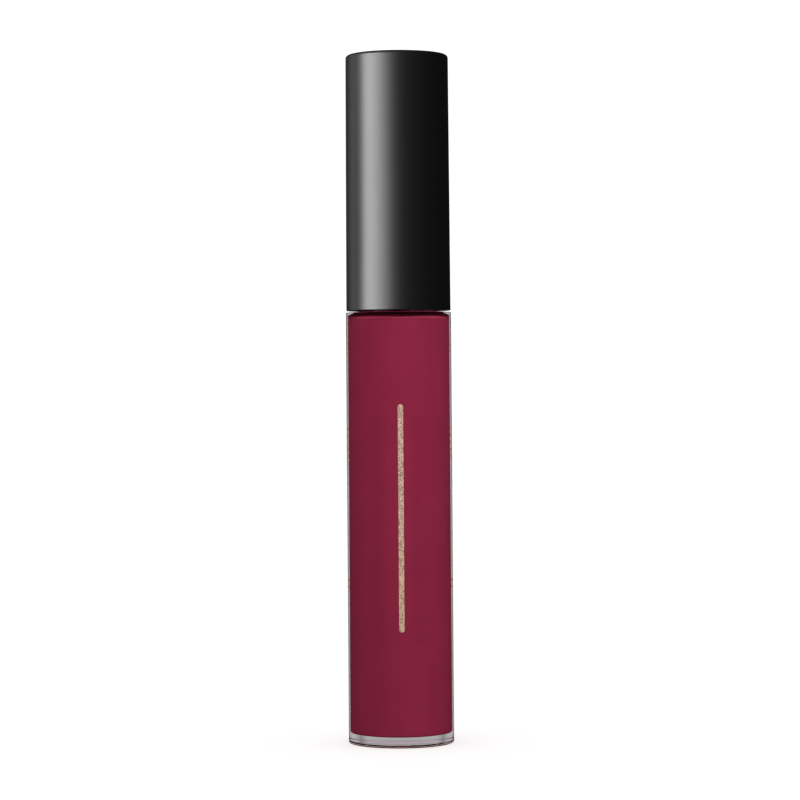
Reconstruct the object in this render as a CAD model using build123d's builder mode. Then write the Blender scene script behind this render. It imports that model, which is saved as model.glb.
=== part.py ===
"""Lip gloss tube: a thick-walled clear bottle full of gloss, with a threaded neck and a wiper, and
a long cap. The cap's liner screws onto the neck and carries the wand.

Millimetres. The origin is the centre of the foot, +Z points up through the cap, and the front,
where the foil stripe is, faces -Y.
"""

from build123d import *
from math import atan2, cos, degrees, radians, sin
import os

os.makedirs("parts", exist_ok=True)

# ---------------------------------------------------------------- driving dimensions
overall_height = 117.5

bottle_radius = 9.0
shoulder_height = 73.5
foot_round = 0.4
shoulder_round = 0.45
recess_radius = 6.6  # shallow hollow under the foot, which leaves a ring to stand on
recess_depth = 0.35

cavity_radius = 5.5
cavity_floor = 1.65
cavity_ceiling = 72.9
cavity_round = 0.3

neck_radius = 5.75
neck_bore_radius = 4.42
neck_top = 84.0
neck_root_round = 0.25
neck_lead_in = 0.3
neck_throat = 0.7  # height of the slope from the cavity into the neck
fill_level = 73.4  # top of the gloss, part of the way up that slope

thread_pitch = 2.4
thread_turns = 1.25  # how far the cap turns before it is free
liner_thread_turns = 1.0
thread_depth = 0.5
thread_root_width = 1.1
thread_crest_width = 0.6
thread_start = 76.5  # height of the neck thread's lower end
thread_sink = 0.15  # how deep each bead's root is buried in its wall
thread_play = 0.12  # axial gap between the flanks that bear
thread_clearance = 0.2  # radial gap from each crest to the wall it faces

well_radius = 2.4  # the space in the gloss that the wand stands in
well_floor = 3.4

foil_thickness = 0.03
foil_width = 0.9
foil_length = 38.3
foil_middle = 38.7

print_thickness = 0.02
print_line_height = 0.45
print_line_pitch = 1.2

wiper_flange_radius = 5.3
wiper_flange_thickness = 0.6
wiper_wall = 0.9
wiper_cone_top = 77.8
wiper_tip = 74.9
wiper_lip_length = 0.4
wiper_lip_wall = 0.4

rod_radius = 1.9
rod_wipe_gap = 0.07  # running fit of the rod in the wiper's lip
rod_waist_radius = 1.45
rod_waist_top = 24.0
rod_taper_length = 2.5
rod_end = 14.0
rod_socket_depth = 6.6
socket_gap = 0.05  # running fit of the rod in the liner, and of the tip's stem in the rod

stem_radius = 0.95
stem_length = 5.8
core_radius = 1.2
flock_thickness = 0.5
tip_height = 4.2  # lowest point of the wand
tip_dome_share = 0.95  # rounding of the tip's end, as a share of its radius
slant_run = 7.3  # height of the slanted face of the tip
slant_rise = 2.2  # how far that face leans across the tip

washer_thickness = 0.78
washer_radius = 5.9
washer_hole_radius = 2.5
rest_gap = 0.02  # between faces that meet on pieces that move apart

cap_edge = 73.8
cap_edge_radius = 8.92
cap_top_radius = 8.76
cap_top_round = 0.6
cap_edge_round = 0.12
cap_roof_thickness = 1.4
cap_bore_radius = 7.45

liner_radius = 7.7
liner_edge = 74.4
liner_top = 96.0
liner_wall = 1.0
liner_roof_thickness = 1.6
boss_radius = 3.2
boss_height = 6.0
rib_count = 6
rib_thickness = 0.8
rib_height = 4.0
snap_height = 92.0
snap_depth = 0.15

# ---------------------------------------------------------------- worked-out sizes
flank_slope = (thread_root_width - thread_crest_width) / 2 / thread_depth
thread_drop = thread_root_width - flank_slope * (thread_depth + thread_clearance) + thread_play
liner_bore_radius = neck_radius + thread_depth + thread_clearance

fill_share = (fill_level - cavity_ceiling) / neck_throat
fill_radius = cavity_radius - fill_share * (cavity_radius - neck_bore_radius)

wiper_top = neck_top + wiper_flange_thickness
washer_base = wiper_top + rest_gap
liner_ceiling = washer_base + washer_thickness + rest_gap
liner_deck = liner_ceiling + liner_roof_thickness
boss_top = liner_deck + boss_height
socket_radius = rod_radius + socket_gap
socket_top = liner_ceiling + rod_socket_depth
cap_ceiling = overall_height - cap_roof_thickness
flock_radius = core_radius + flock_thickness
slant_angle = degrees(atan2(slant_rise, slant_run))

# Lines of plain print on the back: height of the lowest line, number of lines, and where each
# line starts and ends, in degrees round from the middle of the back towards +X.
print_blocks = [
    (8.4, 12, -34, -1),
    (26.2, 2, -12, 20),
    (48.6, 5, -30, 6),
    (54.6, 6, -26, -1),
    (66.6, 3, 1, 24),
]


def corner(profile, radius, height):
    """The corner of a profile nearest to a radius and a height."""
    return profile.vertices().sort_by_distance((radius, height, 0))[0]


def thread_section(path, depth):
    """The trapezoid of a thread bead, across the start of its helix. Negative depth points inward."""
    root, crest = thread_root_width / 2, thread_crest_width / 2
    sink = -thread_sink if depth > 0 else thread_sink
    with BuildSketch(Plane(path @ 0, x_dir=(1, 0, 0), z_dir=path % 0)) as section:
        with BuildLine():
            Polyline(
                (sink, -root),
                (0, -root),
                (depth, -crest),
                (depth, crest),
                (0, root),
                (sink, root),
                close=True,
            )
        make_face()
    return section.sketch


def finish(piece, name):
    """Labels a piece and writes its STEP file."""
    piece.part.label = name
    export_step(piece.part, f"parts/{name}.step")


# ---------------------------------------------------------------- bottle
with BuildPart() as bottle:
    with BuildSketch(Plane.XZ) as profile:
        with BuildLine():
            Polyline(
                (0, recess_depth),
                (recess_radius, recess_depth),
                (recess_radius + recess_depth, 0),
                (bottle_radius, 0),
                (bottle_radius, shoulder_height),
                (neck_radius, shoulder_height),
                (neck_radius, neck_top),
                (neck_bore_radius, neck_top),
                (neck_bore_radius, cavity_ceiling + neck_throat),
                (cavity_radius, cavity_ceiling),
                (cavity_radius, cavity_floor),
                (0, cavity_floor),
                close=True,
            )
        make_face()
        fillet(corner(profile, bottle_radius, 0), foot_round)
        fillet(corner(profile, bottle_radius, shoulder_height), shoulder_round)
        fillet(corner(profile, neck_radius, shoulder_height), neck_root_round)
        fillet(corner(profile, cavity_radius, cavity_floor), cavity_round)
        chamfer(corner(profile, neck_radius, neck_top), neck_lead_in)
    revolve(axis=Axis.Z)
    with BuildLine() as neck_helix:
        Helix(thread_pitch, thread_turns * thread_pitch, neck_radius, center=(0, 0, thread_start))
    sweep(thread_section(neck_helix.line, thread_depth), path=neck_helix.line, is_frenet=True)
finish(bottle, "bottle")

# ---------------------------------------------------------------- gloss
# The liquid fills the cavity from wall to wall and the lower part of the slope above it, apart from
# the well that the wand stands in.
with BuildPart() as gloss_fill:
    with BuildSketch(Plane.XZ) as profile:
        with BuildLine():
            Polyline(
                (0, cavity_floor),
                (cavity_radius, cavity_floor),
                (cavity_radius, cavity_ceiling),
                (fill_radius, fill_level),
                (well_radius, fill_level),
                (well_radius, well_floor),
                (0, well_floor),
                close=True,
            )
        make_face()
        fillet(corner(profile, cavity_radius, cavity_floor), cavity_round)
    revolve(axis=Axis.Z)
finish(gloss_fill, "gloss_fill")

# ---------------------------------------------------------------- decoration on the bottle
with BuildPart() as foil_stripe:
    with BuildSketch(Plane.XZ):
        with Locations((bottle_radius + foil_thickness / 2, foil_middle)):
            Rectangle(foil_thickness, foil_length)
    revolve(axis=Axis.Z)
    with BuildSketch(Plane.XZ.offset(bottle_radius / 2)):
        with Locations((0, foil_middle)):
            SlotOverall(foil_length, foil_width, rotation=90)
    extrude(amount=bottle_radius, mode=Mode.INTERSECT)
finish(foil_stripe, "foil_stripe")

with BuildPart() as back_print:
    for base, lines, start, end in print_blocks:
        across = radians(90 - end)
        outward = (cos(across), sin(across), 0)
        sideways = (sin(across), -cos(across), 0)
        with BuildSketch(Plane((0, 0, 0), x_dir=outward, z_dir=sideways)):
            for line in range(lines):
                with Locations((bottle_radius + print_thickness / 2, base + line * print_line_pitch)):
                    Rectangle(print_thickness, print_line_height)
        revolve(axis=Axis.Z, revolution_arc=end - start)
finish(back_print, "back_print")

# ---------------------------------------------------------------- wiper
# A soft plug in the neck. Its cone ends in a thin lip that scrapes the rod.
with BuildPart() as wiper:
    lip_radius = rod_radius + rod_wipe_gap
    tube_radius = neck_bore_radius - wiper_wall
    with BuildSketch(Plane.XZ) as profile:
        with BuildLine():
            Polyline(
                (neck_bore_radius, neck_top),
                (wiper_flange_radius, neck_top),
                (wiper_flange_radius, wiper_top),
                (tube_radius, wiper_top),
                (tube_radius, wiper_cone_top),
                (lip_radius, wiper_tip + wiper_lip_length),
                (lip_radius, wiper_tip),
                (lip_radius + wiper_lip_wall, wiper_tip),
                (neck_bore_radius, wiper_cone_top - wiper_lip_length),
                close=True,
            )
        make_face()
        chamfer(corner(profile, tube_radius, wiper_top), wiper_lip_wall)
    revolve(axis=Axis.Z)
finish(wiper, "wiper")

# ---------------------------------------------------------------- seal washer
with BuildPart() as seal_washer:
    with BuildSketch(Plane.XY.offset(washer_base)):
        Circle(washer_radius)
        Circle(washer_hole_radius, mode=Mode.SUBTRACT)
    extrude(amount=washer_thickness)
finish(seal_washer, "seal_washer")

# ---------------------------------------------------------------- wand
with BuildPart() as rod:
    with BuildSketch(Plane.XZ) as profile:
        with BuildLine():
            Polyline(
                (0, socket_top - socket_gap),
                (rod_radius, socket_top - socket_gap),
                (rod_radius, rod_waist_top),
                (rod_waist_radius, rod_waist_top - rod_taper_length),
                (rod_waist_radius, rod_end),
                (stem_radius + socket_gap, rod_end),
                (stem_radius + socket_gap, rod_end + stem_length + socket_gap),
                (0, rod_end + stem_length + socket_gap),
                close=True,
            )
        make_face()
        chamfer(corner(profile, rod_radius, socket_top - socket_gap), neck_lead_in)
    revolve(axis=Axis.Z)
finish(rod, "rod")

# The tip's core plugs into the rod, and its slanted face looks to the front.
slant = Plane(
    (0, flock_radius - slant_rise, tip_height),
    x_dir=(1, 0, 0),
    z_dir=(0, -cos(radians(slant_angle)), -sin(radians(slant_angle))),
)


def tip_body(radius, base, top):
    """A rod of the given radius with a domed lower end, from base up to top."""
    with BuildPart() as body:
        with BuildSketch(Plane.XY.offset(base)):
            Circle(radius)
        extrude(amount=top - base)
        fillet(body.edges().group_by(Axis.Z)[0], radius * tip_dome_share)
    return body.part


with BuildPart() as applicator_core:
    add(tip_body(core_radius, tip_height + flock_thickness, rod_end - socket_gap))
    split(bisect_by=slant.offset(-flock_thickness), keep=Keep.BOTTOM)
    with BuildSketch(Plane.XY.offset(rod_end - socket_gap)):
        Circle(stem_radius)
    extrude(amount=stem_length)
finish(applicator_core, "applicator_core")

with BuildPart() as flock:
    add(tip_body(flock_radius, tip_height, rod_end - flock_thickness))
    split(bisect_by=slant, keep=Keep.BOTTOM)
    add(applicator_core.part, mode=Mode.SUBTRACT)
finish(flock, "flock")

# ---------------------------------------------------------------- cap liner
# The liner's thread lies under the neck's thread, so turning the cap shut pulls it down.
with BuildPart() as cap_liner:
    with BuildSketch(Plane.XZ) as profile:
        with BuildLine():
            Polyline(
                (liner_bore_radius, liner_edge),
                (liner_radius, liner_edge),
                (liner_radius, snap_height - snap_depth),
                (liner_radius + snap_depth, snap_height),
                (liner_radius, snap_height + snap_depth),
                (liner_radius, liner_top),
                (liner_radius - liner_wall, liner_top),
                (liner_radius - liner_wall, liner_deck),
                (boss_radius, liner_deck),
                (boss_radius, boss_top),
                (0, boss_top),
                (0, socket_top),
                (socket_radius, socket_top),
                (socket_radius, liner_ceiling),
                (liner_bore_radius, liner_ceiling),
                close=True,
            )
        make_face()
        chamfer(corner(profile, liner_bore_radius, liner_edge), neck_lead_in)
    revolve(axis=Axis.Z)
    rib_middle = (boss_radius + liner_radius - liner_wall) / 2
    rib_length = liner_radius - boss_radius
    with BuildSketch(Plane.XY.offset(liner_deck)):
        with PolarLocations(rib_middle, rib_count):
            Rectangle(rib_length, rib_thickness)
    extrude(amount=rib_height)
    with BuildLine() as liner_helix:
        Helix(
            thread_pitch,
            liner_thread_turns * thread_pitch,
            liner_bore_radius,
            center=(0, 0, thread_start - thread_drop),
        )
    sweep(thread_section(liner_helix.line, -thread_depth), path=liner_helix.line, is_frenet=True)
finish(cap_liner, "cap_liner")

# ---------------------------------------------------------------- cap shell
with BuildPart() as cap_shell:
    with BuildSketch(Plane.XZ) as profile:
        with BuildLine():
            Polyline(
                (liner_radius, cap_edge),
                (cap_edge_radius, cap_edge),
                (cap_top_radius, overall_height),
                (0, overall_height),
                (0, cap_ceiling),
                (cap_bore_radius, cap_ceiling),
                (cap_bore_radius, liner_top),
                (liner_radius, liner_top),
                (liner_radius, snap_height + snap_depth),
                (liner_radius + snap_depth, snap_height),
                (liner_radius, snap_height - snap_depth),
                close=True,
            )
        make_face()
        fillet(corner(profile, cap_top_radius, overall_height), cap_top_round)
        fillet(corner(profile, cap_bore_radius, cap_ceiling), cap_top_round)
        fillet(corner(profile, cap_edge_radius, cap_edge), cap_edge_round)
        fillet(corner(profile, liner_radius, cap_edge), cap_edge_round)
    revolve(axis=Axis.Z)
finish(cap_shell, "cap_shell")
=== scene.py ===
# %% [markdown]
# # A lip gloss tube on a white table
# The tube is a thick clear bottle full of berry gloss under a long satin black cap. Its measured parts
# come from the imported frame, which stays where it is. The surfaces that a customer sees are turned here
# again at full smoothness, because clear plastic shows every facet of a coarse mesh.

# %% Load the frame
import math

import bpy
import numpy as np
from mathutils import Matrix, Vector


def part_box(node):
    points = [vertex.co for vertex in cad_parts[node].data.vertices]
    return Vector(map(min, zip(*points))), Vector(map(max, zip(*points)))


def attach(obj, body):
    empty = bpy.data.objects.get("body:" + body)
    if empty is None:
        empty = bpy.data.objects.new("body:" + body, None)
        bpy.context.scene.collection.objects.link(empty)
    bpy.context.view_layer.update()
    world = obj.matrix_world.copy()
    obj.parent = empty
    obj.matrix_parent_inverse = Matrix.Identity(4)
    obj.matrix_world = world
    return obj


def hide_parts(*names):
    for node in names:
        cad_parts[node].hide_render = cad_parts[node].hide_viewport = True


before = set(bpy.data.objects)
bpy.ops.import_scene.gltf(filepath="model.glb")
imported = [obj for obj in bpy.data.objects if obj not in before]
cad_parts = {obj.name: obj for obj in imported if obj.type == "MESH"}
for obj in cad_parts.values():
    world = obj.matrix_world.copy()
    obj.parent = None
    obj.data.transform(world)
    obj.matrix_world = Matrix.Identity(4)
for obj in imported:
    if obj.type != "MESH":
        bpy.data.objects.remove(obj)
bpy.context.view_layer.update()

# %% [markdown]
# ## Reading sizes off the frame
# Each turned piece needs radii and heights. Typing them in again would let the picture drift from the
# model, so they are read from the frame's own vertices: the distance of each vertex from the long axis
# gives the radii, and its Z gives the heights.

# %% Measure a node between two heights
def rings(node, low=-1.0, high=1.0):
    """Radius and height of each vertex of a node between two heights: radius is the root of x² + y²."""
    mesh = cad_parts[node].data
    flat = np.empty(len(mesh.vertices) * 3)
    mesh.vertices.foreach_get("co", flat)
    points = flat.reshape(-1, 3)
    points = points[(points[:, 2] >= low) & (points[:, 2] <= high)]
    return np.hypot(points[:, 0], points[:, 1]), points[:, 2]


MM = 0.001
fill_low, fill_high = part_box("gloss_fill")
wall_radius = round(rings("bottle")[0].max(), 6)
fill_radii, fill_heights = rings("gloss_fill")
cavity_radius = round(fill_radii.max(), 6)
cavity_ceiling = round(fill_heights[fill_radii > cavity_radius - 0.01 * MM].max(), 6)
neck_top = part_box("bottle")[1][2]
neck_radius = round(rings("bottle", neck_top - 0.35 * MM)[0].max(), 6)
bore_radius = round(rings("bottle", neck_top - 0.01 * MM)[0].min(), 6)
shoulder_radii, shoulder_heights = rings("bottle", fill_high[2], neck_top)
shoulder_top = round(shoulder_heights[shoulder_radii > neck_radius + 0.8 * MM].max(), 6)
print("bottle wall", wall_radius, "cavity", cavity_radius, "neck", neck_radius, "bore", bore_radius)
print("cavity ceiling", cavity_ceiling, "shoulder", shoulder_top, "neck top", neck_top)

# %% [markdown]
# ## Turning a profile
# Every big piece here is round, as a moulder's core and cavity are. A screw modifier could spin a curve,
# but a grid worked out with numpy gives exact control of the seam and the poles, and lets the radius
# change round the piece, which the thread needs.

# %% A profile with rounded corners
def outline(corners, arc_steps=10):
    """Turns (radius, height, rounding) corners into points. Each rounded corner becomes an arc that touches
    both of its sides: the tangent length is the rounding divided by the tangent of half the corner's angle.
    """
    corners = np.array(corners, dtype=float)
    points = [corners[0, :2]]
    for before, here, after in zip(corners[:-2], corners[1:-1], corners[2:]):
        spot, rounding = here[:2], here[2]
        if rounding == 0:
            points.append(spot)
            continue
        to_before = (before[:2] - spot) / np.linalg.norm(before[:2] - spot)
        to_after = (after[:2] - spot) / np.linalg.norm(after[:2] - spot)
        half = math.acos(np.clip(to_before @ to_after, -1, 1)) / 2
        middle = (to_before + to_after) / np.linalg.norm(to_before + to_after)
        centre = spot + middle * rounding / math.sin(half)
        start = spot + to_before * rounding / math.tan(half) - centre
        end = spot + to_after * rounding / math.tan(half) - centre
        sweep = math.acos(np.clip(start @ end / rounding**2, -1, 1))
        share = np.linspace(0, 1, arc_steps + 1)[:, None]
        arc = np.sin((1 - share) * sweep) * start + np.sin(share * sweep) * end
        points.extend(centre + arc / math.sin(sweep))
    points.append(corners[-1, :2])
    return np.array(points)


# %% Turn the profile round the long axis
TURN_STEPS = 256


def turned(name, profile, ridge=None, steps=TURN_STEPS):
    """Surface of revolution: point (i, j) is (r cos a, r sin a, z), with r and z from row i of the profile
    and a = 2 pi j / steps. ridge(a, z) adds to r. Rows on the axis become one vertex, so poles are closed,
    and a profile that doesn't reach the axis is closed on itself.
    """
    radius, height = profile[:, 0], profile[:, 1]
    angle = np.arange(steps) * 2 * math.pi / steps
    on_axis = radius < 1e-9
    rows = np.flatnonzero(~on_axis)
    lift = ridge(angle[None, :], height[rows, None]) if ridge else 0 * angle[None, :]
    reach = radius[rows, None] + lift
    level = np.broadcast_to(height[rows, None], reach.shape)
    grid = np.stack([reach * np.cos(angle), reach * np.sin(angle), level], axis=-1)
    poles = np.stack([0 * radius[on_axis], 0 * radius[on_axis], height[on_axis]], axis=-1)
    index = np.arange(len(rows) * steps).reshape(len(rows), steps)
    if not on_axis.any():
        index = np.vstack([index, index[:1]])
    here, beside = index, np.roll(index, -1, axis=1)
    quads = np.stack([here[:-1], beside[:-1], beside[1:], here[1:]], axis=-1).reshape(-1, 4)
    faces = quads.tolist()
    first_pole = len(rows) * steps
    if on_axis[0]:
        faces += np.stack([np.full(steps, first_pole), beside[0], here[0]], axis=-1).tolist()
    if on_axis[-1]:
        last_pole = first_pole + len(poles) - 1
        faces += np.stack([np.full(steps, last_pole), here[-1], beside[-1]], axis=-1).tolist()
    return piece_from(name, np.vstack([grid.reshape(-1, 3), poles]), faces)


def piece_from(name, points, faces, crease=35):
    """A smooth-shaded object with its place in its mesh. Edges sharper than crease degrees stay sharp."""
    mesh = bpy.data.meshes.new(name)
    mesh.from_pydata(points.tolist(), [], faces)
    mesh.shade_smooth()
    mesh.set_sharp_from_angle(angle=math.radians(crease))
    mesh.update()
    made = bpy.data.objects.new(name, mesh)
    bpy.context.scene.collection.objects.link(made)
    print(name, "has", len(mesh.polygons), "faces")
    return made


# %% [markdown]
# ## The clear bottle
# The real bottle is moulded in thick clear plastic. The wall acts as a lens: it makes the gloss look
# almost as wide as the bottle, and leaves only a thin bright line down each side. So the bottle is a true
# solid of glass, with an outer wall, a cavity, a foot and a threaded neck in one closed skin.

# %% Thread on the neck
THREAD_PITCH = 2.4 * MM
THREAD_TURNS = 1.25
THREAD_START = 76.5 * MM
THREAD_DEPTH = 0.5 * MM
THREAD_ROOT = 1.1 * MM
THREAD_CREST = 0.6 * MM
THREAD_FADE = 0.06  # share of a turn over which each end of the thread dies away


def neck_thread(angle, height):
    """Ridge height of the thread: a trapezoid of the distance along the axis to the nearest turn of the
    helix, times a ramp that dies away at both ends. Only the outside of the neck calls it.
    """
    turn = angle / (2 * math.pi)
    climb = (height - THREAD_START) / THREAD_PITCH
    lap = np.round(climb - turn)
    along = np.clip(turn + lap, 0, THREAD_TURNS)
    away = np.abs(climb - along) * THREAD_PITCH
    flank = np.clip((THREAD_ROOT / 2 - away) / (THREAD_ROOT / 2 - THREAD_CREST / 2), 0, 1)
    ends = np.clip(along / THREAD_FADE, 0, 1) * np.clip((THREAD_TURNS - along) / THREAD_FADE, 0, 1)
    return THREAD_DEPTH * flank * ends


# %% The bottle's skin
FOOT_ROUND = 0.4 * MM
SHOULDER_ROUND = 0.12 * MM
NECK_ROOT_ROUND = 0.25 * MM
NECK_LEAD_IN = 0.3 * MM
RECESS_RADIUS = 6.6 * MM
RECESS_DEPTH = 0.35 * MM
THROAT = 0.7 * MM
CAVITY_ROUND = 0.3 * MM
NECK_ROW = 0.1 * MM
RECESS_ROUND = 0.15 * MM
LIP_ROUND = 0.08 * MM
THROAT_ROUND = 0.2 * MM
CEILING_ROUND = 0.1 * MM

outside = outline([
    (0, RECESS_DEPTH, 0),
    (RECESS_RADIUS, RECESS_DEPTH, RECESS_ROUND),
    (RECESS_RADIUS + RECESS_DEPTH, 0, RECESS_ROUND),
    (wall_radius, 0, FOOT_ROUND),
    (wall_radius, shoulder_top, SHOULDER_ROUND),
    (neck_radius, shoulder_top, NECK_ROOT_ROUND),
    (neck_radius, neck_top, 0),
])[:-1]
thread_rows = np.arange(outside[-1, 1] + NECK_ROW, neck_top - NECK_LEAD_IN, NECK_ROW)
neck_rows = np.stack([np.full_like(thread_rows, neck_radius), thread_rows], axis=1)
inside = outline([
    (neck_radius, neck_top - NECK_LEAD_IN, 0),
    (neck_radius - NECK_LEAD_IN, neck_top, LIP_ROUND),
    (bore_radius, neck_top, LIP_ROUND),
    (bore_radius, cavity_ceiling + THROAT, THROAT_ROUND),
    (cavity_radius, cavity_ceiling, CEILING_ROUND),
    (cavity_radius, fill_low[2], CAVITY_ROUND),
    (0, fill_low[2], 0),
])
bottle_profile = np.vstack([outside, neck_rows, inside])


def only_outside(angle, height):
    """The thread ridge, kept to the rows of the outer neck."""
    rows = np.arange(len(bottle_profile))
    kept = (rows >= len(outside)) & (rows < len(outside) + len(neck_rows))
    return neck_thread(angle, height) * kept[bottle_profile[:, 0] > 1e-9][:, None]


clear_bottle = turned("clear_bottle", bottle_profile, ridge=only_outside)
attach(clear_bottle, "tube")
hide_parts("bottle")
clear_bottle.visible_shadow = False

# %% [markdown]
# ## The gloss
# The liquid wets the wall, so there is no air between it and the plastic. Two surfaces at the same radius
# would fight, and a gap would mirror like a thermos, so the gloss reaches a hair into the wall.

# %% The gloss body
WETTING = 0.02 * MM
above_floor = fill_heights > fill_low[2] + 0.1 * MM
well_radius = round(fill_radii[above_floor].min(), 6)
well_floor = round(fill_heights[above_floor & (fill_radii < well_radius + 0.1 * MM)].min(), 6)
surface_radius = round(fill_radii[fill_heights > fill_high[2] - 0.01 * MM].max(), 6)
print("well", well_radius, "from", well_floor, "surface out to", surface_radius)
MENISCUS = 0.25 * MM

gloss_profile = outline([
    (0, fill_low[2] - WETTING, 0),
    (cavity_radius + WETTING, fill_low[2] - WETTING, CAVITY_ROUND),
    (cavity_radius + WETTING, cavity_ceiling, CEILING_ROUND),
    (surface_radius + WETTING, fill_high[2], 0),
    (well_radius, fill_high[2], MENISCUS),
    (well_radius, well_floor, MENISCUS),
    (0, well_floor, 0),
])
berry_gloss = turned("berry_gloss_body", gloss_profile)
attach(berry_gloss, "tube")
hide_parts("gloss_fill")

# %% [markdown]
# ## Hot-stamped foil on the front
# A heated die presses a narrow stripe of glitter foil onto the bottle. It is a thin skin on a round wall:
# one parameter runs up the stripe, the other across it, and the ends close in half circles.

# %% The foil stripe
foil_low, foil_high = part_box("foil_stripe")
FOIL_LIFT = 0.03 * MM
SKIN_SINK = 0.01 * MM  # the bond with the plastic, so that no air shows behind a skin
foil_half = (foil_high[0] - foil_low[0]) / 2


def wall_patch(left, right, heights, radius, thickness, across_steps):
    """A thin closed patch on a round wall. Row i lies at heights[i] between the azimuths left[i] and
    right[i] from the front. Its outer skin is at radius + thickness, its inner skin a hair inside radius.
    """
    share = np.linspace(0, 1, across_steps + 1)
    azimuth = left[:, None] * (1 - share) + right[:, None] * share
    tall = np.broadcast_to(heights[:, None], azimuth.shape)
    skins = [
        np.stack([reach * np.sin(azimuth), -reach * np.cos(azimuth), tall], axis=-1).reshape(-1, 3)
        for reach in (radius + thickness, radius - SKIN_SINK)
    ]
    index = np.arange(azimuth.size).reshape(azimuth.shape)
    corners = [index[:-1, :-1], index[:-1, 1:], index[1:, 1:], index[1:, :-1]]
    front = np.stack(corners, axis=-1).reshape(-1, 4)
    back = front[:, ::-1] + azimuth.size
    rim = np.concatenate([index[0, :], index[1:, -1], index[-1, -2::-1], index[-2:0:-1, 0]])
    ahead = np.roll(rim, -1)
    sides = np.stack([ahead, rim, rim + azimuth.size, ahead + azimuth.size], axis=-1)
    return np.vstack(skins), np.vstack([front, back, sides])


FOIL_ROWS = 97
FOIL_COLUMNS = 10
rise = np.linspace(0, math.pi, FOIL_ROWS)
foil_middle = (foil_low[2] + foil_high[2]) / 2
straight = (foil_high[2] - foil_low[2]) / 2 - foil_half
foil_heights = foil_middle - np.cos(rise) * foil_half - np.sign(np.cos(rise)) * straight
NARROWEST = 0.02  # width of the stripe's two end rows, as a share of its full width
foil_spread = np.arcsin(np.maximum(np.sin(rise), NARROWEST) * foil_half / wall_radius)
points, faces = wall_patch(-foil_spread, foil_spread, foil_heights, wall_radius, FOIL_LIFT, FOIL_COLUMNS)
gold_stripe = piece_from("gold_stripe", points, faces.tolist())
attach(gold_stripe, "tube")
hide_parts("foil_stripe")

# %% [markdown]
# ## Print on the back
# The back carries small print. Plain lines stand for it here. From the front it shows only as flecks down
# the two edges, where the thick wall bends the view right round to the back.

# %% The lines on the back
PRINT_LIFT = 0.02 * MM
LINE_COLUMNS = 24
LINE_HEIGHT = 0.45 * MM
LINE_PITCH = 1.2 * MM
PRINT_BLOCKS = [  # lowest line, number of lines, start and end in degrees from the middle of the back to +X
    (8.4 * MM, 12, -34, -1),
    (26.2 * MM, 2, -12, 20),
    (48.6 * MM, 5, -30, 6),
    (54.6 * MM, 6, -26, -1),
    (66.6 * MM, 3, 1, 24),
]


def printed_lines():
    """Points and faces of all lines: each is a wall patch half a turn from the front."""
    all_points, all_faces, count = [], [], 0
    for base, lines, start, end in PRINT_BLOCKS:
        for line in range(lines):
            middle = base + line * LINE_PITCH
            heights = middle + np.array([-0.5, 0.5]) * LINE_HEIGHT
            left = np.full(2, math.pi - math.radians(end))
            right = np.full(2, math.pi - math.radians(start))
            spots, sides = wall_patch(left, right, heights, wall_radius, PRINT_LIFT, LINE_COLUMNS)
            all_points.append(spots)
            all_faces.append(sides + count)
            count += len(spots)
    return np.vstack(all_points), np.vstack(all_faces)


points, faces = printed_lines()
print_lines = piece_from("print_lines", points, faces.tolist())
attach(print_lines, "tube")
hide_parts("back_print")

# %% [markdown]
# ## The cap shell
# The cap is a long tube closed at the top, a shade narrower there than at its edge, so that it leaves its
# mould. The top corner is softly rounded, and the lower edge is nearly sharp.

# %% Turn the cap shell
cap_low, cap_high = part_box("cap_shell")
liner_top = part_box("cap_liner")[1][2]
CROWN_ROUND = 0.6 * MM
EDGE_ROUND = 0.12 * MM
ROOF = 1.4 * MM
CAP_BORE = 7.45 * MM
CAP_ARC_STEPS = 12
cap_edge_radius = round(rings("cap_shell", cap_low[2], cap_low[2] + 0.3 * MM)[0].max(), 5)
cap_top_radius = round(rings("cap_shell", cap_high[2] - 0.7 * MM)[0].max(), 5)
cap_mouth_radius = round(rings("cap_shell", cap_low[2] + 0.1 * MM, cap_low[2] + 1 * MM)[0].min(), 5)
print("cap", cap_edge_radius, "to", cap_top_radius, "mouth", cap_mouth_radius)

cap_profile = outline([
    (0, cap_high[2] - ROOF, 0),
    (CAP_BORE, cap_high[2] - ROOF, CROWN_ROUND),
    (CAP_BORE, liner_top, 0),
    (cap_mouth_radius, liner_top, 0),
    (cap_mouth_radius, cap_low[2], EDGE_ROUND),
    (cap_edge_radius, cap_low[2], EDGE_ROUND),
    (cap_top_radius, cap_high[2], CROWN_ROUND),
    (0, cap_high[2], 0),
], arc_steps=CAP_ARC_STEPS)
satin_cap = turned("satin_cap", cap_profile)
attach(satin_cap, "cap")
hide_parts("cap_shell")

# %% [markdown]
# ## Flock on the tip
# The tip's nylon core is coated with glue and shot with short fibres, which stand up like velvet. A hair
# system would not reach the exported mesh, so each fibre is a real three-sided spike. They are all placed
# at once: random triangles of the flock's outer skin, picked by area, and a random point in each. They ride
# with the cap, because the tip turns with it.

# %% The fibres
FIBRE_COUNT = 5200
FIBRE_LENGTH = 0.24 * MM
FIBRE_HALF_WIDTH = 0.022 * MM
FIBRE_LEAN = 0.35  # how far a fibre's tip strays, as a share of its length
FIBRE_SEED = 7
ODD_DIRECTION = [0.31, 0.17, 0.94]  # any direction that no fibre is likely to share


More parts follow.
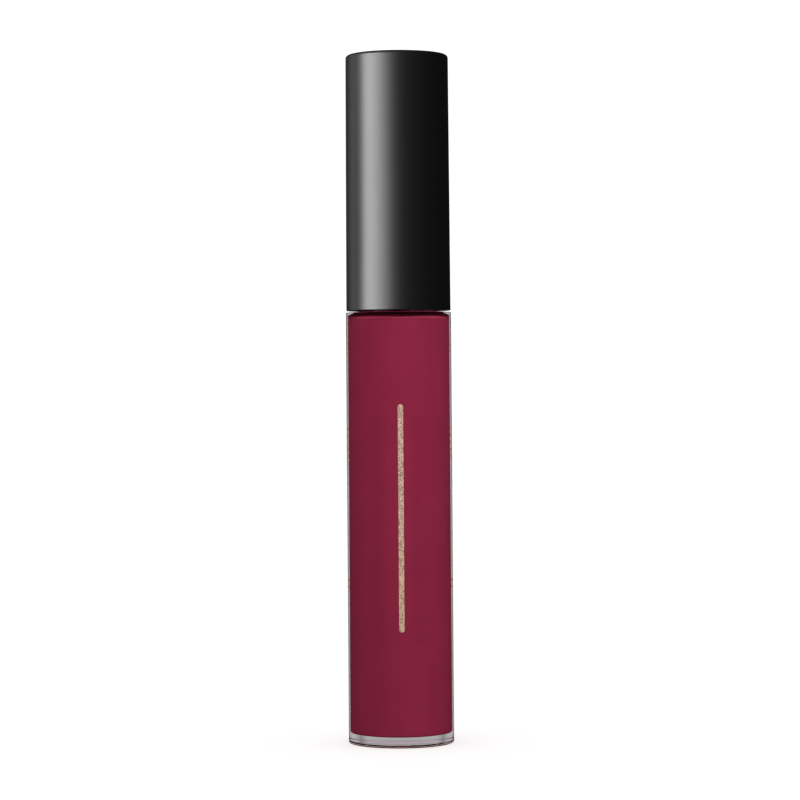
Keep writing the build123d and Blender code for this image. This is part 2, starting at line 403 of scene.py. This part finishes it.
def flock_skin():
    """Corners and normals of the flock's outer triangles: those that face away from the long axis, and the
    lowest ones, which face down.
    """
    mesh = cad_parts["flock"].data
    mesh.calc_loop_triangles()
    corners = np.empty(len(mesh.loop_triangles) * 3, dtype=np.int32)
    mesh.loop_triangles.foreach_get("vertices", corners)
    flat = np.empty(len(mesh.vertices) * 3)
    mesh.vertices.foreach_get("co", flat)
    spots = flat.reshape(-1, 3)[corners].reshape(-1, 3, 3)
    cross = np.cross(spots[:, 1] - spots[:, 0], spots[:, 2] - spots[:, 0])
    area = np.linalg.norm(cross, axis=1) / 2
    normal = cross / np.maximum(2 * area[:, None], 1e-18)
    middle = spots.mean(axis=1)
    outward = (normal[:, :2] * middle[:, :2]).sum(axis=1) > 0
    under = (normal[:, 2] < -0.3) & (middle[:, 2] < spots[:, :, 2].min() + 0.3 * MM)
    kept = (outward | under) & (area > 0)
    return spots[kept], normal[kept], area[kept]


def fibres():
    """Spikes: a small triangle in the skin and a tip at the root plus length times the leaning normal."""
    spots, normals, areas = flock_skin()
    rng = np.random.default_rng(FIBRE_SEED)
    pick = rng.choice(len(areas), FIBRE_COUNT, p=areas / areas.sum())
    u, v = rng.random((2, FIBRE_COUNT, 1))
    fold = u + v > 1
    u, v = np.where(fold, 1 - u, u), np.where(fold, 1 - v, v)
    corner, ahead, aside = spots[pick, 0], spots[pick, 1], spots[pick, 2]
    root = corner + u * (ahead - corner) + v * (aside - corner)
    lean = normals[pick] + FIBRE_LEAN * rng.standard_normal((FIBRE_COUNT, 3))
    lean /= np.linalg.norm(lean, axis=1)[:, None]
    across = np.cross(lean, ODD_DIRECTION)
    across /= np.linalg.norm(across, axis=1)[:, None]
    along = np.cross(lean, across)
    turn = np.arange(3) * 2 * math.pi / 3
    cosines, sines = np.cos(turn)[None, :, None], np.sin(turn)[None, :, None]
    ring = across[:, None] * cosines + along[:, None] * sines
    base = (root - lean * FIBRE_HALF_WIDTH)[:, None] + ring * FIBRE_HALF_WIDTH
    tip = root + lean * FIBRE_LENGTH * (0.7 + 0.3 * rng.random((FIBRE_COUNT, 1)))
    points = np.concatenate([base, tip[:, None]], axis=1).reshape(-1, 3)
    first = np.arange(FIBRE_COUNT)[:, None, None] * 4
    faces = first + np.array([[0, 1, 3], [1, 2, 3], [2, 0, 3], [0, 2, 1]])
    return points, faces.reshape(-1, 3)


points, faces = fibres()
flock_fibres = piece_from("flock_fibres", points, faces.tolist())
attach(flock_fibres, "cap")

# %% [markdown]
# ## Materials
# Each finish is one Principled shader. Its plain values are set on the shader, and only what varies over
# the surface, such as grain, comes from nodes that read the piece's own coordinates.

# %% Helpers for node materials
def material(name, **values):
    """A material with one Principled shader. values are its sockets, with _ for a space."""
    made = bpy.data.materials.new(name)
    made.use_nodes = True
    shader = made.node_tree.nodes["Principled BSDF"]
    for socket, value in values.items():
        shader.inputs[socket.replace("_", " ")].default_value = value
    return made, shader


def node(made, kind, **settings):
    """Adds a node and sets its properties, or its sockets where a name isn't a property."""
    new = made.node_tree.nodes.new(kind)
    for name, value in settings.items():
        if hasattr(new, name):
            setattr(new, name, value)
        else:
            new.inputs[name.replace("_", " ")].default_value = value
    return new


def link(made, source, target):
    """Joins an output socket to an input socket."""
    made.node_tree.links.new(source, target)


def grain(made, shader, scale, depth, strength=1.0, detail=3):
    """Fine moulded grain: noise on the piece's own coordinates lifts the surface by depth metres. Returns
    the coordinates node, for other patterns to read.
    """
    place = node(made, "ShaderNodeTexCoord")
    noise = node(made, "ShaderNodeTexNoise", Scale=scale, Detail=detail)
    bump = node(made, "ShaderNodeBump", Strength=strength, Distance=depth)
    link(made, place.outputs["Object"], noise.inputs["Vector"])
    link(made, noise.outputs["Fac"], bump.inputs["Height"])
    link(made, bump.outputs["Normal"], shader.inputs["Normal"])
    return place


def vary(made, socket, place, scale, low, high, detail=2):
    """Feeds a socket with noise stretched between two values."""
    noise = node(made, "ShaderNodeTexNoise", Scale=scale, Detail=detail)
    spread = node(made, "ShaderNodeMapRange")
    spread.inputs["To Min"].default_value = low
    spread.inputs["To Max"].default_value = high
    link(made, place.outputs["Object"], noise.inputs["Vector"])
    link(made, noise.outputs["Fac"], spread.inputs["Value"])
    link(made, spread.outputs["Result"], socket)


def vary_colour(made, shader, place, scale, dark, light, detail=3, low=0.35, high=0.65):
    """Blends the base colour between two shades by noise."""
    noise = node(made, "ShaderNodeTexNoise", Scale=scale, Detail=detail)
    ramp = node(made, "ShaderNodeValToRGB")
    ramp.color_ramp.elements[0].position = low
    ramp.color_ramp.elements[0].color = (*dark, 1)
    ramp.color_ramp.elements[1].position = high
    ramp.color_ramp.elements[1].color = (*light, 1)
    link(made, place.outputs["Object"], noise.inputs["Vector"])
    link(made, noise.outputs["Fac"], ramp.inputs["Fac"])
    link(made, ramp.outputs["Color"], shader.inputs["Base Color"])


MIX_A, MIX_B, MIX_RESULT = 6, 7, 2  # places of a Mix node's two colours and of its mixed colour


def dress(target, made):
    """Gives an object, or a node of the frame by name, its material."""
    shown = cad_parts[target] if isinstance(target, str) else target
    shown.data.materials.clear()
    shown.data.materials.append(made)
    print(shown.name, "wears", made.name)


# %% [markdown]
# ## Clear plastic
# A tube like this is moulded in clear copolyester, which bends light a little more than window glass does.
# A glass shader on the true thick wall gives the lens and the bright edge lines by itself. The only
# pattern is in the height of the surface: a swell too low to feel, and flow waves under the foot.

# %% Clear plastic
WALL_TINT = (0.97, 0.965, 0.97, 1)
WALL_INDEX = 1.57
SWELL = 0.0004 * MM
FOOT_WAVES = 0.03 * MM  # height of the flow waves under the foot
FOOT_WAVE_TOP = 0.6 * MM


def clear_plastic():
    """Glass with a faint swell all over. Under the foot, where the plastic cools last, noise times a mask
    of the height adds flow waves, which break what shows through the base into streaks.
    """
    made, shader = material("clear plastic", Base_Color=WALL_TINT, Roughness=0.0, IOR=WALL_INDEX)
    shader.inputs["Transmission Weight"].default_value = 1.0
    place = grain(made, shader, 350, SWELL)
    apart = node(made, "ShaderNodeSeparateXYZ")
    mask = node(made, "ShaderNodeMapRange")
    mask.inputs["From Min"].default_value = FOOT_WAVE_TOP
    mask.inputs["From Max"].default_value = 0.0
    waves = node(made, "ShaderNodeTexNoise", Scale=260.0, Detail=2.0)
    masked = node(made, "ShaderNodeMath", operation="MULTIPLY")
    bump = node(made, "ShaderNodeBump", Distance=FOOT_WAVES)
    link(made, place.outputs["Object"], apart.inputs["Vector"])
    link(made, apart.outputs["Z"], mask.inputs["Value"])
    link(made, place.outputs["Object"], waves.inputs["Vector"])
    link(made, waves.outputs["Fac"], masked.inputs[0])
    link(made, mask.outputs["Result"], masked.inputs[1])
    link(made, masked.outputs["Value"], bump.inputs["Height"])
    link(made, shader.inputs["Normal"].links[0].from_socket, bump.inputs["Normal"])
    link(made, bump.outputs["Normal"], shader.inputs["Normal"])
    return made


dress(clear_bottle, clear_plastic())


# %% [markdown]
# ## Berry gloss
# The gloss is so full of pigment that no light comes through it. It touches the plastic all round, so it
# has no free surface there to shine: the shine belongs to the wall, and the gloss has none of its own.

# %% Berry gloss
BERRY = (0.262, 0.0213, 0.0567)
BERRY_PALER = (0.278, 0.0234, 0.0608)
# The paler line round the top of the gloss is a painted caustic: light focused there by the shoulder's
# rounded corner, painted into the gloss's colour.
PAINTED_CAUSTIC_COLOUR = (0.52, 0.075, 0.125, 1)
PAINTED_CAUSTIC_HEIGHT = cavity_ceiling - 0.42 * MM  # height of the painted caustic, a paler line standing in for light that the shoulder's rounded corner focuses onto the gloss
PAINTED_CAUSTIC_HALF_WIDTH = 0.10 * MM


def gloss_liquid():
    """A pigmented liquid: two close berry shades by slow noise, and a painted caustic, a paler line round
    its top that stands in for light focused there by the shoulder's rounded corner. The line's mask falls
    from
    1 to 0 with the distance from its height.
    """
    made, shader = material("berry gloss", Roughness=0.5, IOR=1.0, Specular_IOR_Level=0.0)
    place = node(made, "ShaderNodeTexCoord")
    vary_colour(made, shader, place, 140, BERRY, BERRY_PALER)
    apart = node(made, "ShaderNodeSeparateXYZ")
    offset = node(made, "ShaderNodeMath", operation="SUBTRACT")
    offset.inputs[1].default_value = PAINTED_CAUSTIC_HEIGHT
    away = node(made, "ShaderNodeMath", operation="ABSOLUTE")
    mask = node(made, "ShaderNodeMapRange")
    mask.inputs["From Min"].default_value = PAINTED_CAUSTIC_HALF_WIDTH
    mask.inputs["From Max"].default_value = 0.0
    # Painted caustic: the paler colour is mixed into the berry where the mask is high.
    painted_caustic = node(made, "ShaderNodeMix", data_type="RGBA")
    painted_caustic.inputs[MIX_B].default_value = PAINTED_CAUSTIC_COLOUR
    link(made, place.outputs["Object"], apart.inputs["Vector"])
    link(made, apart.outputs["Z"], offset.inputs[0])
    link(made, offset.outputs["Value"], away.inputs[0])
    link(made, away.outputs["Value"], mask.inputs["Value"])
    link(made, mask.outputs["Result"], painted_caustic.inputs["Factor"])
    link(made, shader.inputs["Base Color"].links[0].from_socket, painted_caustic.inputs[MIX_A])
    link(made, painted_caustic.outputs[MIX_RESULT], shader.inputs["Base Color"])
    return made


dress(berry_gloss, gloss_liquid())


# %% [markdown]
# ## Satin black cap
# The cap is black plastic, made satin by a fine texture in its mould. A perfectly even roughness would
# look like paint, so noise shifts it a little, and a very low grain softens the long highlight.

# %% Satin black cap
CAP_BLACK = (0.006, 0.0063, 0.0068, 1)
MOULD_GRAIN = 0.002 * MM


def satin_black():
    """Black with a low grain, and a roughness that noise moves between two close values."""
    made, shader = material("satin black", Base_Color=CAP_BLACK, IOR=1.5)
    place = grain(made, shader, 9000, MOULD_GRAIN, strength=0.25)
    vary(made, shader.inputs["Roughness"], place, 600, 0.36, 0.39)
    return made


dress(satin_cap, satin_black())


# %% [markdown]
# ## Foil and ink
# Glitter foil is a crowd of tiny flakes, each with its own shade and tilt. A Voronoi pattern is the
# shortest way to such a crowd: one cell is one flake, and its random colour sets both. The ink on the back
# is flat, and only a little uneven in tone.

# %% Gold glitter foil and beige ink
GOLD_DARK = (0.24, 0.145, 0.098, 1)
GOLD_LIGHT = (0.70, 0.475, 0.343, 1)
FLAKE_TILT = 0.012 * MM
INK_DARK = (0.62, 0.36, 0.26)
INK_LIGHT = (0.95, 0.72, 0.55)


def gold_foil():
    """Each Voronoi cell's red share picks its shade of gold, and its green share lifts it."""
    made, shader = material("gold glitter foil", Metallic=0.2, Roughness=0.4)
    place = node(made, "ShaderNodeTexCoord")
    flakes = node(made, "ShaderNodeTexVoronoi", Scale=6800)
    shades = node(made, "ShaderNodeValToRGB")
    shades.color_ramp.elements[0].position = 0.15
    shades.color_ramp.elements[0].color = GOLD_DARK
    shades.color_ramp.elements[1].position = 0.85
    shades.color_ramp.elements[1].color = GOLD_LIGHT
    split = node(made, "ShaderNodeSeparateColor")
    bump = node(made, "ShaderNodeBump", Strength=0.6, Distance=FLAKE_TILT)
    link(made, place.outputs["Object"], flakes.inputs["Vector"])
    link(made, flakes.outputs["Color"], split.inputs["Color"])
    link(made, split.outputs["Red"], shades.inputs["Fac"])
    link(made, shades.outputs["Color"], shader.inputs["Base Color"])
    link(made, split.outputs["Green"], bump.inputs["Height"])
    link(made, bump.outputs["Normal"], shader.inputs["Normal"])
    return made


def beige_ink():
    """Two beiges mixed by noise over a fine grain."""
    made, shader = material("beige ink", Roughness=0.6)
    place = grain(made, shader, 8000, 3e-6)
    vary_colour(made, shader, place, 5000, INK_DARK, INK_LIGHT)
    return made


dress(gold_stripe, gold_foil())
dress(print_lines, beige_ink())


# %% [markdown]
# ## Pieces inside the cap and the neck
# These are plain mouldings and a foam washer, so one helper dresses them all and only the colour, shine
# and grain differ. The tip has stood in the gloss, which has stained its nylon and soaked its flock.

# %% Pieces inside the cap and the neck
def moulded(name, colour, roughness, scale=7000, depth=2e-6, **more):
    """Moulded plastic: a plain colour broken by faint clouds, and a fine grain."""
    made, shader = material(name, Roughness=roughness, **more)
    place = grain(made, shader, scale, depth, strength=0.3)
    dark = tuple(part * 0.92 for part in colour)
    vary_colour(made, shader, place, 400, dark, colour)
    return made


milky = {"Subsurface_Weight": 0.2, "Subsurface_Scale": 1 * MM}
dress("wiper", moulded("natural polyethylene", (0.82, 0.82, 0.79), 0.42, **milky))
dress("seal_washer", moulded("white foam washer", (0.83, 0.83, 0.81), 0.75, scale=3000, depth=12e-6))
dress("cap_liner", moulded("black liner", (0.014, 0.014, 0.015), 0.34))
dress("applicator_core", moulded("berry-stained nylon", (0.40, 0.085, 0.14), 0.4))
dress("flock", moulded("berry-soaked flock", (0.36, 0.05, 0.10), 0.7, scale=9000, depth=40e-6))
dress(flock_fibres, moulded("berry-soaked fibre", (0.42, 0.06, 0.12), 0.6, scale=9000, depth=5e-6))


# %% [markdown]
# ## The film on the stem
# The wiper strips the stem as it leaves the bottle, but a thin film stays on the part that stood in the
# gloss. A clean line would look painted, so the film's upper edge is the height plus some noise.

# %% The stem with a film of gloss on its lower part
STEM_BLACK = (0.012, 0.012, 0.013, 1)
FILM_BERRY = (0.105, 0.009, 0.020, 1)
FILM_RAGGED = 3 * MM  # how far the film's upper edge wanders


def filmed_stem():
    """Black plastic that turns to a thin wet berry film below the wiper: the mask is the height, broken by
    noise, run through a short ramp.
    """
    made, shader = material("black stem with gloss film", Roughness=0.22)
    place = grain(made, shader, 7000, 2e-6, strength=0.3)
    apart = node(made, "ShaderNodeSeparateXYZ")
    ragged = node(made, "ShaderNodeMath", operation="MULTIPLY_ADD")
    ragged.inputs[1].default_value = FILM_RAGGED
    ramp = node(made, "ShaderNodeMapRange")
    ramp.inputs["From Min"].default_value = fill_high[2] + FILM_RAGGED
    ramp.inputs["From Max"].default_value = fill_high[2] - FILM_RAGGED
    shades = node(made, "ShaderNodeValToRGB")
    shades.color_ramp.elements[0].color = STEM_BLACK
    shades.color_ramp.elements[1].color = FILM_BERRY
    streaks = node(made, "ShaderNodeTexNoise", Scale=900.0, Detail=2.0)
    link(made, place.outputs["Object"], apart.inputs["Vector"])
    link(made, place.outputs["Object"], streaks.inputs["Vector"])
    link(made, streaks.outputs["Fac"], ragged.inputs[0])
    link(made, apart.outputs["Z"], ragged.inputs[2])
    link(made, ragged.outputs["Value"], ramp.inputs["Value"])
    link(made, ramp.outputs["Result"], shades.inputs["Fac"])
    link(made, shades.outputs["Color"], shader.inputs["Base Color"])
    return made


dress("rod", filmed_stem())

# %% [markdown]
# ## The table
# The tube stands on a white table that glows a little, so that it stays white out to its far edge. Soft,
# mirrored and refracted rays pass it by. They would carry its white into the clear wall, whose edges have
# to stay dark enough to draw themselves.

# %% A white table
TABLE_RADIUS = 6.0
TABLE_WHITE = (0.95, 0.95, 0.95, 1)
WHITE = (1, 1, 1, 1)
table = turned("white_table", np.array([[0, 0.0], [TABLE_RADIUS, 0.0]])[::-1], steps=96)
laminate, shader = material("white table", Base_Color=TABLE_WHITE, Roughness=0.9, Emission_Strength=0.6)
shader.inputs["Emission Color"].default_value = WHITE
dress(table, laminate)
table.visible_glossy = False
table.visible_diffuse = False
table.visible_transmission = False


# %% [markdown]
# ## Light through clear plastic
# Clear plastic looks best lit from behind with the front kept dim, so that its edges draw themselves.
# Here the surround itself does this: what refracted rays see depends on the direction they leave in. It
# is dim in front, brightest at the sides and a little behind, and its bands of tint by height give the
# thick base its streaks.

# %% World light
def scale_by_stops(world, value, low, high, stops):
    """Turns a number between low and high into a colour through (place, colour) stops."""
    spread = node(world, "ShaderNodeMapRange", From_Min=low, From_Max=high)
    ramp = node(world, "ShaderNodeValToRGB")
    places = [(place - low) / (high - low) for place, _ in stops]
    while len(ramp.color_ramp.elements) < len(stops):
        ramp.color_ramp.elements.new(0.5)
    for element, place, (_, colour) in zip(ramp.color_ramp.elements, places, stops):
        element.position = place
        element.color = (*colour, 1)
    link(world, value, spread.inputs["Value"])
    link(world, spread.outputs["Result"], ramp.inputs["Fac"])
    return ramp.outputs["Color"]


def mixed(world, blend, first, second):
    """Two colours put together in full: blend is MULTIPLY or ADD."""
    mix = node(world, "ShaderNodeMix", data_type="RGBA", blend_type=blend, Factor=1.0)
    link(world, first, mix.inputs[MIX_A])
    link(world, second, mix.inputs[MIX_B])
    return mix.outputs[MIX_RESULT]


# %% What refracted rays see, by direction
SIDES = [  # how bright refracted rays find the surround, by the share of their direction that is backward
    (-1.0, (0.05,) * 3),
    (-0.25, (0.07,) * 3),
    (0.02, (0.66,) * 3),
    (0.42, (0.62,) * 3),
    (0.60, (0.50,) * 3),
    (0.74, (0.27,) * 3),
    (0.84, (0.46,) * 3),
    (1.0, (0.42,) * 3),
]
TINTS = [  # and the tint of that light, by the share of their direction that is upward
    (-0.5, (0.60, 0.55, 0.57)),
    (-0.20, (0.95, 0.86, 0.90)),
    (-0.145, (0.62, 0.52, 0.56)),
    (-0.125, (1.0, 1.05, 0.95)),
    (-0.09, (1.0, 1.04, 0.96)),
    (-0.05, (1.0, 0.94, 0.98)),
    (0.04, (1.0, 0.95, 0.98)),
    (0.10, (0.90, 0.80, 0.90)),
    (0.125, (1.20, 1.05, 1.20)),
    (0.15, (0.62, 0.55, 0.58)),
    (0.18, (1.10, 1.15, 1.0)),
    (0.5, (0.30, 0.30, 0.30)),
]
FLOOR = [  # the white table adds to what rays that leave downward see
    (-1.0, (0.42, 0.28, 0.28)),
    (-0.30, (0.30, 0.21, 0.21)),
    (-0.15, (0.0,) * 3),
    (1.0, (0.0,) * 3),
]


# %% The surround
def sky(seen, soft, mirrored):
    """A white surround, with its own strength for what the camera sees, for soft light and for mirroring.
    Refracted rays see the product of SIDES and TINTS, plus FLOOR.
    """
    world = bpy.data.worlds.new("studio")
    bpy.context.scene.world = world
    world.use_nodes = True
    path = node(world, "ShaderNodeLightPath")
    total = path.outputs["Is Transmission Ray"]
    for ray, strength in (("Camera", seen), ("Diffuse", soft), ("Glossy", mirrored)):
        part = node(world, "ShaderNodeMath", operation="MULTIPLY_ADD")
        part.inputs[1].default_value = strength
        link(world, path.outputs[f"Is {ray} Ray"], part.inputs[0])
        link(world, total, part.inputs[2])
        total = part.outputs[0]
    place = node(world, "ShaderNodeTexCoord")
    apart = node(world, "ShaderNodeSeparateXYZ")
    link(world, place.outputs["Generated"], apart.inputs["Vector"])
    brightness = scale_by_stops(world, apart.outputs["Y"], -1, 1, SIDES)
    tint = scale_by_stops(world, apart.outputs["Z"], -0.5, 0.5, TINTS)
    floor = scale_by_stops(world, apart.outputs["Z"], -1, 1, FLOOR)
    refracted = mixed(world, "ADD", mixed(world, "MULTIPLY", brightness, tint), floor)
    chosen = node(world, "ShaderNodeMix", data_type="RGBA")
    chosen.inputs[MIX_A].default_value = WHITE
    link(world, path.outputs["Is Transmission Ray"], chosen.inputs["Factor"])
    link(world, refracted, chosen.inputs[MIX_B])
    background = world.node_tree.nodes["Background"]
    link(world, chosen.outputs[MIX_RESULT], background.inputs["Color"])
    link(world, total, background.inputs["Strength"])
    world.cycles.sampling_method = "NONE"
    print(world.name, "surround: seen", seen, "soft", soft, "mirrored", mirrored)


sky(seen=1.1, soft=0.5, mirrored=0.02)
bpy.context.scene.view_settings.view_transform = "Standard"


# %% [markdown]
# ## Lamps
# Two low, wide and flat lamps in front light the gloss, so that the cap's shadow ends sharply at its top.
# Weaker ones at the sides and one behind carry the light round it. None of them lights the cap or the clear
# skin. The cap gets a row of tall strips at the left, strongest far round, which draw its long highlight.

# %% A lamp
LAMP_AIM = Vector((0, 0, 0.06))


def softbox(name, azimuth, elevation, distance, width, height, watts, receivers):
    """A rectangular lamp at an azimuth from the front, towards +X, and an elevation. It is turned to the
    middle of the tube, and lights only its receivers.
    """
    lamp = bpy.data.lights.new(name, "AREA")
    lamp.shape = "RECTANGLE"
    lamp.size, lamp.size_y = width, height
    lamp.energy = watts
    made = bpy.data.objects.new(name, lamp)
    bpy.context.scene.collection.objects.link(made)
    a, e = math.radians(azimuth), math.radians(elevation)
    offset = Vector((math.sin(a) * math.cos(e), -math.cos(a) * math.cos(e), math.sin(e))) * distance
    made.location = LAMP_AIM + offset
    made.rotation_mode = "QUATERNION"
    made.rotation_quaternion = offset.to_track_quat("Z", "Y")
    made.visible_camera = False
    group = bpy.data.collections.new(name + " receivers")
    for piece in receivers:
        group.objects.link(piece)
    made.light_linking.receiver_collection = group
    print(name, watts, "W")


# %% Lamps for the gloss and the inner pieces
inner_nodes = ["wiper", "seal_washer", "cap_liner", "rod", "applicator_core", "flock"]
matt_pieces = [berry_gloss, gold_stripe, print_lines, flock_fibres]
matt_pieces += [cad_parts[name] for name in inner_nodes]
LAMP_ELEVATION = 19.7
LAMP_DISTANCE = 0.33
LAMP_HEIGHT = 0.012
GLOSS_LAMPS = [  # name, azimuth, width and watts
    ("front left softbox", -40, 0.16, 0.58),
    ("front right softbox", 46, 0.16, 0.71),
    ("side fill left", -88, 0.10, 0.12),
    ("side fill right", 88, 0.10, 0.12),
    ("back softbox", 180, 0.16, 0.55),
]
for name, azimuth, width, watts in GLOSS_LAMPS:
    softbox(name, azimuth, LAMP_ELEVATION, LAMP_DISTANCE, width, LAMP_HEIGHT, watts, matt_pieces)

# %% Strips for the cap
STRIP_ELEVATION = 4
STRIP_DISTANCE = 1.0
STRIP_WIDTH = 0.262
STRIP_HEIGHT = 1.2
FADE = {-120: 0.9, -75: 13.9, -60: 13.2, -45: 9.0, -30: 4.8, -15: 1.05}  # watts of each strip, by azimuth
for azimuth, watts in FADE.items():
    name = f"tall left softbox {-azimuth}"
    softbox(name, azimuth, STRIP_ELEVATION, STRIP_DISTANCE, STRIP_WIDTH, STRIP_HEIGHT, watts, [satin_cap])

# %% [markdown]
# ## Camera
# A long lens about half a metre away shows the tube with hardly any perspective. It looks level from about
# half the tube's height, so that upright edges stay upright, and a small shift centres the tube.

# %% Camera
CAMERA_DISTANCE = 0.4862
CAMERA_HEIGHT = 0.06117
CAMERA_YAW = math.radians(1.27)
CAMERA_ROLL = 0.0073
SENSOR_WIDTH = 36.0
FOCAL_LENGTH = 127.87
SHIFT_RIGHT = 0.00128
SHIFT_UP = -0.01925
camera_data = bpy.data.cameras.new("camera")
camera_data.sensor_width = SENSOR_WIDTH
camera_data.lens = FOCAL_LENGTH
camera_data.shift_x = SHIFT_RIGHT
camera_data.shift_y = SHIFT_UP
camera_data.clip_start = 0.01
camera = bpy.data.objects.new("camera", camera_data)
aside, back = math.sin(CAMERA_YAW), math.cos(CAMERA_YAW)
camera.location = (-CAMERA_DISTANCE * aside, -CAMERA_DISTANCE * back, CAMERA_HEIGHT)
camera.rotation_euler = (math.pi / 2, CAMERA_ROLL, -CAMERA_YAW)
bpy.context.scene.collection.objects.link(camera)
bpy.context.scene.camera = camera
print("camera at", tuple(camera.location))
